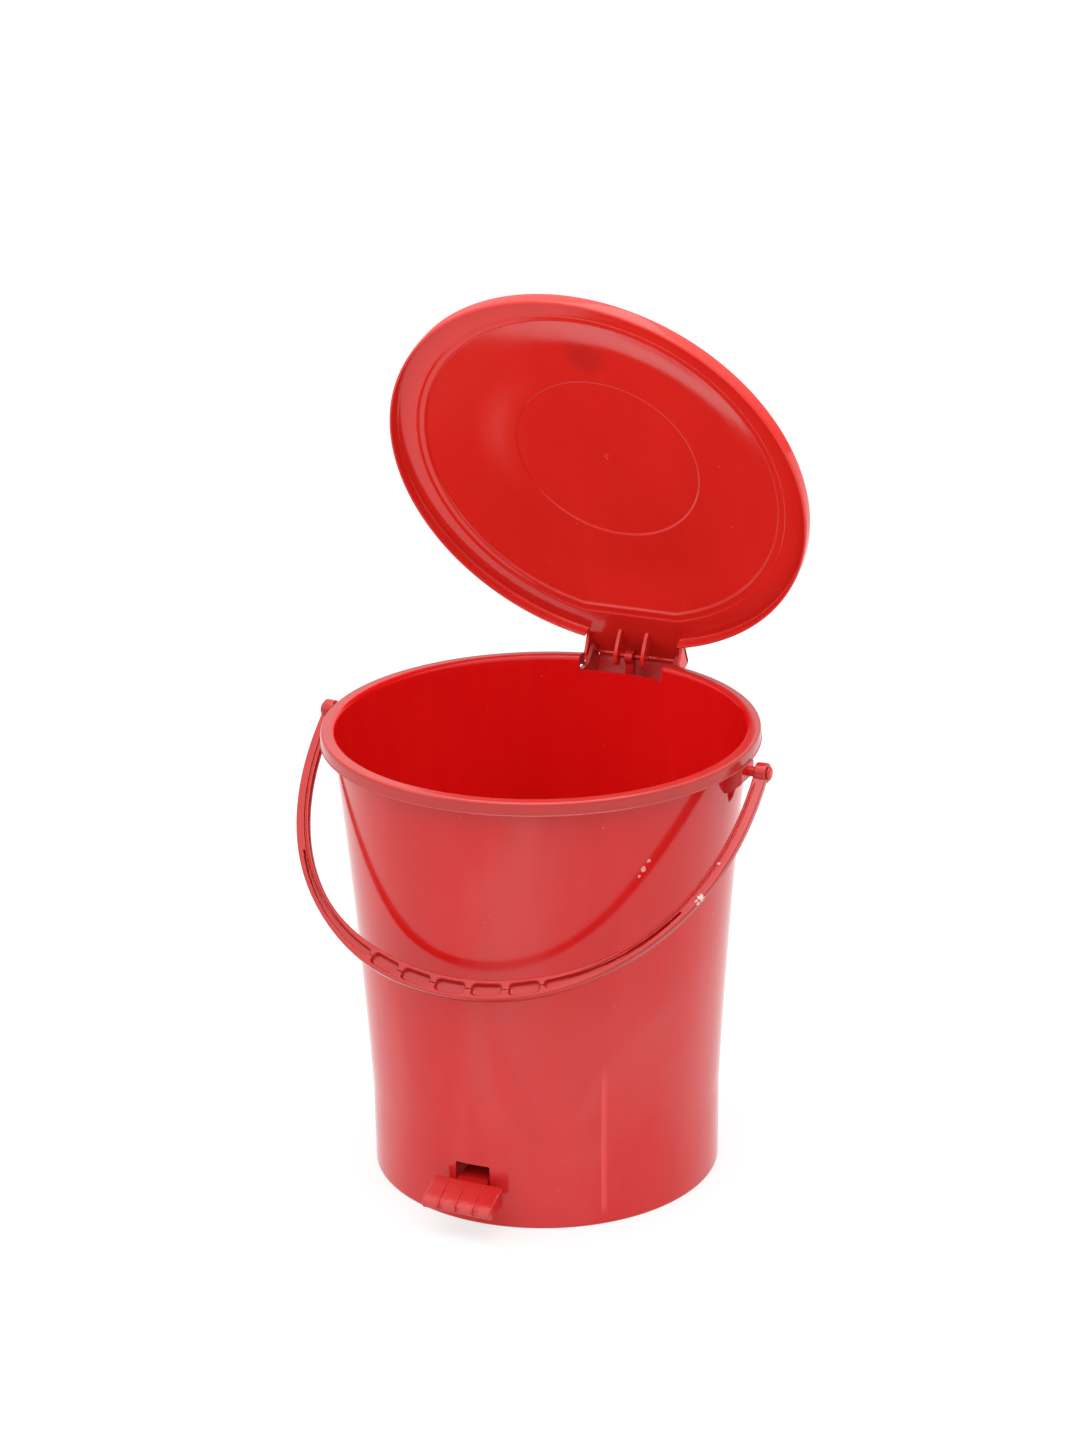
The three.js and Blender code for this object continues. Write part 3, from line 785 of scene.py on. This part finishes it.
def makeTab():
    t = lidSize["tab"]
    low, high = lidSize["underside"] - 0.22, lidSize["underside"] + lidSize["shell"] - 0.12
    half, front, rear = t["halfWidth"], t["front"], t["rear"]
    outline = rounded([(-half, front), (half, front), (half, rear), (-half, rear)], [0.4, 0.4, 1.2, 1.2], 4)
    plate = openPiece(slab("lidTab", outline, low, high, "xy"))
    finished(plate, "lid", lidRed, ["lid"], bevel=0.3)
    # a bead along the tab's rear edge
    bead = rounded([(rear - 2.2, low + 0.1), (rear - 1.5, low - 1.15), (rear - 0.4, low - 1.15),
                    (rear, low + 0.3), (rear, high - 0.3), (rear - 1, high - 0.2)], 0.35, 4)
    bead = openPiece(slab("lidTabBead", bead, 0.6 - half, half - 0.6))
    finished(bead, "lid", lidRed, ["lid"], bevel=0.15)
    gusset = rounded([(126.5, 280.6), (rear, 280.6), (rear, 271), (146, 268.3), (141, 268.3), (136.5, 273.5),
                      (131, 279.4), (126.5, 279.4)], [0.2, 0.4, 1.4, 1.6, 1.6, 4, 3, 0.2], 6)
    hook = rounded([(125.5, 280.4), (128.6, 274.6), (134.5, 266.5), (141, 263.5), (144, 265.5), (142.5, 269),
                    (137.2, 273.0), (134.4, 280.4)], [0.3, 5, 5, 3, 1.6, 2.4, 5, 0.3], 7)
    for label, side in (("Right", 1), ("Left", -1)):
        plate = openPiece(slab("lidGusset" + label, gusset, *sorted(((half - 1.8) * side, half * side))))
        finished(plate, "lid", lidRed, ["lid"], bevel=0.35)
        lug = openPiece(slab("linkLug" + label, hook, *sorted((7.9 * side, 10.1 * side))))
        finished(lug, "lid", lidRed, ["lid"], bevel=0.5)


makeLidShell()
makeTab()
print("lid made")


# Pins along X

def pinAlongX(name, y, z, radius, halfLength, edge=0.4, middle=0.0):
    return turned(name, barProfile(radius, -halfLength, halfLength, edge), 36, (middle, y, z), "x")


linkClosed = np.array([0, 138.0, 269.3])
linkOpen = opened(linkClosed)
pinRadius = 1.5
for label, side in (("Right", 1), ("Left", -1)):
    pin = pinAlongX("hingePin" + label, hinge[1], hinge[2], pinRadius, 2.85, middle=29.35 * side)
    finished(pin, "bin", pinRed, ["hinge_pin_" + label.lower()])
linkPin = pinAlongX("linkPin", linkOpen[1], linkOpen[2], pinRadius, 11.5)
finished(linkPin, "lid", pinRed, ["link_pin"])


# Push rod

rodSize = {"halfWidth": 2.5, "halfDepth": 2.4, "eye": 4.0, "slot": 2.2, "halfStraight": 0.6, "foot": 4.2}


def stadium(y, z, radius, half):
    first = arcPoints(y + half, z, radius, -90, 90, 12)
    second = arcPoints(y - half, z, radius, 90, 270, 12)
    return np.concatenate([first, second])


def makeRod():
    s = rodSize
    run = linkOpen[1:] - rodFoot[1:]
    run = run / np.linalg.norm(run)
    aside = np.array([run[1], -run[0]]) * s["halfDepth"]
    start, end = rodFoot[1:], linkOpen[1:] - run * 2.5
    outline = denser([start - aside, start + aside, end + aside, end - aside], 12)
    rod = slab("pushRod", outline, -s["halfWidth"], s["halfWidth"])
    eye = linkOpen[1:] - [s["halfStraight"], 0.25]
    head = slab("rodHead", stadium(*eye, s["eye"], s["halfStraight"]), -2.49, 2.49)
    foot = slab("rodFootEnd", arcPoints(*rodFoot[1:], s["foot"], 0, 348, 29), -2.49, 2.49)
    hole = slab("rodEyeCut", stadium(*eye, s["slot"], s["halfStraight"]), -6, 6)
    lower = slab("rodFootCut", arcPoints(*rodFoot[1:], 1.85, 0, 345, 23), -6, 6)
    combined(rod, "UNION", head, foot)
    combined(rod, "DIFFERENCE", hole, lower)
    finished(rod, "rod", pinRed, ["push_rod"], bevel=0.3)


makeRod()
footPin = pinAlongX("rodFootPin", rodFoot[1], rodFoot[2], pinRadius, 7.6)
finished(footPin, "pedal", zinc, ["rod_foot_pin"])


# Pedal: lever, tread, axle and clips

def makeLever():
    outline = [(-121, 19.4), (-121, 22.3), (-110, 26.3), (-103, 28.4), (-92, 29.3), (100, 30.2),
               *arcPoints(rodFoot[1], rodFoot[2], 5, 90, -90, 12), (100, 20.4), (-98, 21.6), (-110, 21.4)]
    lever = slab("leverArm", outline, -9.5, 9.5)
    hub = turned("leverHub", barProfile(6, -9.45, 9.45, 0.3), 48, (0, pedalPivot[1], pedalPivot[2]), "x")
    combined(lever, "UNION", hub)
    fork = box("forkCut", (-3.1, 105, 10), (3.1, 120, 40))
    right = box("shoulderCutRight", (6.4, 102, 10), (30, 125, 40))
    left = box("shoulderCutLeft", (-30, 102, 10), (-6.4, 125, 40))
    combined(lever, "DIFFERENCE", fork, right, left)
    finished(lever, "pedal", pedalRed, ["pedal_lever"], bevel=0.4, sharp=38)


treadSize = {
    "halfWidth": 22.2,
    "edge": 1.5,
    "grooves": (-11.1, 0.0, 11.1),
    "grooveDepth": 0.75,
    "grooveHalf": 0.55,
}


def makeTread():
    # a closed outline carried across, drawn in at the grooves and rounded off towards both ends
    s = treadSize
    outline = [(-109.8, 29.5), (-113.4, 28.4), (-124.9, 24.0), (-127.9, 22.4), (-128.9, 19.6), (-128.6, 17.4),
               (-126.6, 16.1), (-112, 17.4), (-109.8, 18.6)]
    outline = denser(rounded(outline, [0.8, 3, 1.4, 1.6, 1.4, 1.0, 1.0, 1.5, 0.8], 6), 0.9)
    half = s["halfWidth"]
    fine = np.concatenate([np.linspace(g - 1.1, g + 1.1, 15) for g in s["grooves"]])
    ends = half - s["edge"] * (1 - np.sin(np.linspace(0, np.pi / 2, 8)))
    inner, outer = np.linspace(1.5, 9.6, 8), np.linspace(12.6, 20, 8)
    across = np.unique(np.concatenate([fine, ends, -ends, inner, -inner, outer, -outer]).round(4))
    centre = np.array([-118.6, 21.8])
    towards = outline - centre
    length = np.linalg.norm(towards, axis=1, keepdims=True)
    # how far each section is drawn in, by a quarter round at the ends
    inward = np.clip((np.abs(across) - (half - s["edge"])) / s["edge"], 0, 1)
    inset = s["edge"] * (1 - np.sqrt(1 - np.minimum(inward, 0.9999) ** 2))
    reach = s["grooveHalf"]
    groove = sum(1 - smoothstep(reach * 0.35, reach, np.abs(across - g)) for g in s["grooves"])
    # the top and the front are grooved, the underside and the rear are not
    y, z = outline.T
    exposed = np.clip(smoothstep(21.5, 23.5, z) + 1 - smoothstep(-127.6, -126.4, y), 0, 1)
    exposed = exposed * smoothstep(-109.9, -111.5, y)
    pull = inset[:, None] + groove[:, None] * s["grooveDepth"] * exposed
    section = centre + towards * (1 - pull[..., None] / length)
    x = np.broadcast_to(across[:, None], pull.shape)
    tread = carried("pedalTread", np.stack([x, section[..., 0], section[..., 1]], -1))
    finished(tread, "pedal", pedalRed, ["pedal_tread"], sharp=50)


makeLever()
makeTread()
axle = pinAlongX("pedalAxle", pedalPivot[1], pedalPivot[2], 2.5, 17.5, 0.5)
finished(axle, "bin", zinc, ["pedal_axle"])
for label, side in (("right", 1), ("left", -1)):
    ring = rounded([(2.6, 14.4), (5.2, 14.4), (5.2, 16.0), (2.6, 16.0)], 0.2, 3) * [1, side]
    clip = turned("axleClip" + label.capitalize(), ring, 48, (0, pedalPivot[1], pedalPivot[2]), "x")
    finished(clip, "bin", zinc, ["axle_clip_" + label])
print("pedal made")


# Bail handle: a band carried along a curve, its front face a field of pockets and grooves

bailSize = {
    "halfSpan": 139.7,
    "depth": 166.1,
    "lean": math.radians(50),
    "halfThick": 2.4,
    "armHalf": 3.9,
    "gripHalf": 6.1,
    "pocket": {"pitch": 22.5, "halfLength": 8.9, "halfWidth": 3.5, "corner": 2.6, "depth": 3.0},
    "slot": {"from": 57.2, "to": 146.0, "halfWidth": 2.5, "depth": 2.6},
    "groove": {"from": 60.0, "to": 238.0, "offset": -1.75, "halfWidth": 0.55, "depth": 1.0},
}


def bailPath(count=460):
    # a cubic curve from the boss to the middle of the grip, and its mirror image
    b = bailSize
    t = np.linspace(0, 1, count)
    px = np.array([b["halfSpan"], b["halfSpan"] + 5.8, 71.0, 0.0])
    pq = np.array([0.0, -114.3, -b["depth"], -b["depth"]])
    weights = np.stack([(1 - t) ** 3, 3 * (1 - t) ** 2 * t, 3 * (1 - t) * t * t, t ** 3], -1)
    x, q = weights @ px, weights @ pq
    half = b["armHalf"] + (b["gripHalf"] - b["armHalf"]) * smoothstep(0.45, 0.85, t)
    x = np.concatenate([x, -x[-2::-1]])
    q = np.concatenate([q, q[-2::-1]])
    half = np.concatenate([half, half[-2::-1]])
    steps = np.hypot(np.diff(x), np.diff(q))
    length = np.concatenate([[0], np.cumsum(steps)])
    length = length - length[-1] / 2
    even = np.linspace(length[0], length[-1], 2 * count - 1)
    return np.interp(even, length, x), np.interp(even, length, q), np.interp(even, length, half), even


def pocketDepth(s, w):
    # five rounded pockets along the grip
    pocket = bailSize["pocket"]
    nearest = np.clip(np.round(s / pocket["pitch"]), -2, 2) * pocket["pitch"]
    corner = pocket["corner"]
    dx = np.maximum(np.abs(s - nearest) - (pocket["halfLength"] - corner), 0)
    dy = np.maximum(np.abs(w) - (pocket["halfWidth"] - corner), 0)
    return pocket["depth"] * smoothstep(0.55, -0.55, np.hypot(dx, dy) - corner)


def slotDepth(s, w):
    # a slot up each arm, round at its lower end and narrowing upwards
    slot = bailSize["slot"]
    reach = np.abs(s)
    along = np.clip((reach - slot["from"]) / (slot["to"] - slot["from"]), 0, 1)
    start = np.clip((reach - slot["from"]) / 2.2, 0, 1)
    width = slot["halfWidth"] * (1 - 0.8 * along) * np.sqrt(start * (2 - start))
    inside = np.where(reach < slot["to"], width - np.abs(w - 0.15 * along), -9)
    return slot["depth"] * smoothstep(-0.25, 0.35, inside)


def grooveDepth(s, w):
    # a fine groove beside the inner edge, fading in from the grip
    groove = bailSize["groove"]
    reach = np.abs(s)
    line = np.abs(w - groove["offset"]) - groove["halfWidth"]
    fadeIn = smoothstep(groove["from"], groove["from"] + 40, reach)
    fadeOut = 1 - smoothstep(groove["to"] - 6, groove["to"], reach)
    return groove["depth"] * smoothstep(0.3, -0.3, line) * fadeIn * fadeOut


def frontDepth(s, w):
    # how far the front face is sunk at a distance s along the band and w across it
    return np.maximum(np.maximum(pocketDepth(s, w), slotDepth(s, w)), grooveDepth(s, w))


def handlePlane(x, q, n):
    # from the handle's own plane, leant forward, to the tub's axes
    c, s = math.cos(bailSize["lean"]), math.sin(bailSize["lean"])
    return np.stack([x, n * c + q * s, handlePivot[2] - n * s + q * c], -1)


def makeBail():
    b = bailSize
    x, q, half, s = bailPath()
    tangent = np.stack([np.gradient(x), np.gradient(q)], -1)
    tangent = tangent / np.linalg.norm(tangent, axis=1, keepdims=True)
    outward = np.stack([-tangent[:, 1], tangent[:, 0]], -1)
    outward = outward * np.sign(np.sum(outward * np.stack([x, q], -1), 1))[:, None]
    thick = b["halfThick"]
    edge = 0.75
    # the section goes round from the finely divided front face: a corner at each end of both faces
    across = np.linspace(-1, 1, 37)
    turn = np.radians(np.linspace(0, 90, 5)[1:])
    flat = half[:, None] - edge
    front = flat * across
    frontN = -thick + frontDepth(s[:, None], front)
    corner1 = flat + edge * np.sin(turn)
    corner1N = np.broadcast_to(-thick + edge * (1 - np.cos(turn)), corner1.shape)
    corner2 = flat + edge * np.cos(turn[:-1])
    corner2N = np.broadcast_to(thick - edge * (1 - np.sin(turn[:-1])), corner2.shape)
    back = flat * np.linspace(1, -1, 7)
    backN = np.full(back.shape, thick)
    corner3 = -flat - edge * np.sin(turn)
    corner3N = np.broadcast_to(thick - edge * (1 - np.cos(turn)), corner3.shape)
    corner4 = -flat - edge * np.cos(turn[:-1])
    corner4N = np.broadcast_to(-thick + edge * (1 - np.sin(turn[:-1])), corner4.shape)
    w = np.concatenate([front, corner1, corner2, back, corner3, corner4], 1)
    n = np.concatenate([frontN, corner1N, corner2N, backN, corner3N, corner4N], 1)
    px = x[:, None] + outward[:, :1] * w
    pq = q[:, None] + outward[:, 1:] * w
    band = carried("bailBand", handlePlane(px, pq, n))
    finished(band, "handle", bailRed, ["bail_handle"], sharp=60)


def makeBossAndPeg(label, side):
    boss = [(3.35, 136.4), (5.9, 136.4), (6.2, 143.7), (3.35, 143.7)]
    boss = rounded(boss, [0.3, 1.2, 1.4, 0.4], 6) * [1, side]
    boss = turned("bailBoss" + label, boss, 56, (0, 0, handlePivot[2]), "x")
    finished(boss, "handle", bailRed, ["bail_handle"])
    peg = [(0, 120.5), (3.0, 120.5), (3.0, 144.05), (4.1, 144.05), (4.1, 145.0), (2.6, 145.6), (0, 145.6)]
    peg = rounded(peg, [0, 0.3, 0.2, 0.2, 0.5, 0.6, 0], 5, closed=False) * [1, side]
    peg = turned("handlePeg" + label, peg, 48, (0, 0, handlePivot[2]), "x")
    finished(peg, "bin", pinRed, ["handle_peg_" + label.lower()])


makeBail()
for label, side in (("Right", 1), ("Left", -1)):
    makeBossAndPeg(label, side)
print("handle made")


# Floor, light and camera

studio = {"horizon": 0.33, "zenith": 1.9, "top": 16.0, "front": 3.0, "glow": 0.70}


def makeFloor():
    half, top = 12000, -0.05
    corners = [(-half, -half, top), (half, -half, top), (half, half, top), (-half, half, top)]
    floor = newMesh("studioFloor", corners, [(0, 1, 2, 3)])
    f = Finish("paleFloor")
    soft = f.noise(3, 2)
    f.use(colour=f.mix(soft, rgba(0.22, 0.22, 0.22), rgba(0.24, 0.24, 0.24)), roughness=soft * 0.1 + 0.75)
    # the floor glows as a lit table does; under the tub the glow is dim and red, painted shade with painted
    # red light from the tub
    beyond = f.awayFrom((0, 0, 0)).between(0.098, 0.106)
    glow = f.mix(beyond, rgba(0.15, 0.012, 0.012), rgba(1, 1, 1))
    f.feed(f.shader.inputs["Emission Color"], glow)
    f.shader.inputs["Emission Strength"].default_value = studio["glow"]
    floor.data.materials.append(f.material)


def makeWorld():
    world = bpy.data.worlds.new("softWhiteStudio")
    world.use_nodes = True
    background = world.node_tree.nodes["Background"]
    tree = world.node_tree
    direction = tree.nodes.new("ShaderNodeTexCoord")
    parts = tree.nodes.new("ShaderNodeSeparateXYZ")
    ramp = tree.nodes.new("ShaderNodeMapRange")
    ramp.inputs["From Min"].default_value = 0.0
    ramp.inputs["From Max"].default_value = 0.8
    ramp.inputs["To Min"].default_value = studio["horizon"]
    ramp.inputs["To Max"].default_value = studio["zenith"]
    tree.links.new(direction.outputs["Generated"], parts.inputs[0])
    tree.links.new(parts.outputs["Z"], ramp.inputs["Value"])
    tree.links.new(ramp.outputs[0], background.inputs["Strength"])
    background.inputs["Color"].default_value = rgba(1, 1, 1)
    bpy.context.scene.world = world


def areaLight(name, place, aim, size, power):
    light = bpy.data.lights.new(name, "AREA")
    light.shape = "RECTANGLE"
    light.size, light.size_y = size
    light.energy = power
    lamp = bpy.data.objects.new(name, light)
    bpy.context.scene.collection.objects.link(lamp)
    lamp.location = place
    lamp.rotation_mode = "QUATERNION"
    lamp.rotation_quaternion = (Vector(aim) - Vector(place)).to_track_quat("-Z", "Y")


def makeCamera():
    # seen from the right of the front and from above, from a little over two metres away
    view = {"distance": 2121.2, "aside": -0.38, "height": 280.53}
    a, e, roll = (math.radians(angle) for angle in (24.97, 20.21, -0.90))
    back = np.array([math.sin(a) * math.cos(e), -math.cos(a) * math.cos(e), math.sin(e)])
    right = np.array([math.cos(a), math.sin(a), 0])
    up = np.cross(back, right)
    across = right * math.cos(roll) + up * math.sin(roll)
    upward = up * math.cos(roll) - right * math.sin(roll)
    place = np.array([0, 0, view["height"]]) + right * view["aside"] + back * view["distance"]
    place = place * mm + [0, axisY, 0]
    lens = bpy.data.cameras.new("studioCamera")
    lens.lens = 90
    lens.sensor_width = 36
    lens.clip_end = 40
    camera = bpy.data.objects.new("studioCamera", lens)
    bpy.context.scene.collection.objects.link(camera)
    turn = np.eye(4)
    turn[:3, 0], turn[:3, 1], turn[:3, 2], turn[:3, 3] = across, upward, back, place
    camera.matrix_world = Matrix(turn.tolist())
    bpy.context.scene.camera = camera


makeFloor()
makeWorld()
areaLight("topSoftbox", (0.1, -0.1, 1.9), (0, 0, 0.2), (1.5, 1.5), studio["top"])
areaLight("frontSoftbox", (-1.3, -1.6, 1.2), (0, 0, 0.2), (0.9, 1.3), studio["front"])
makeCamera()
bpy.context.scene.view_settings.view_transform = "Standard"
print("studio ready")
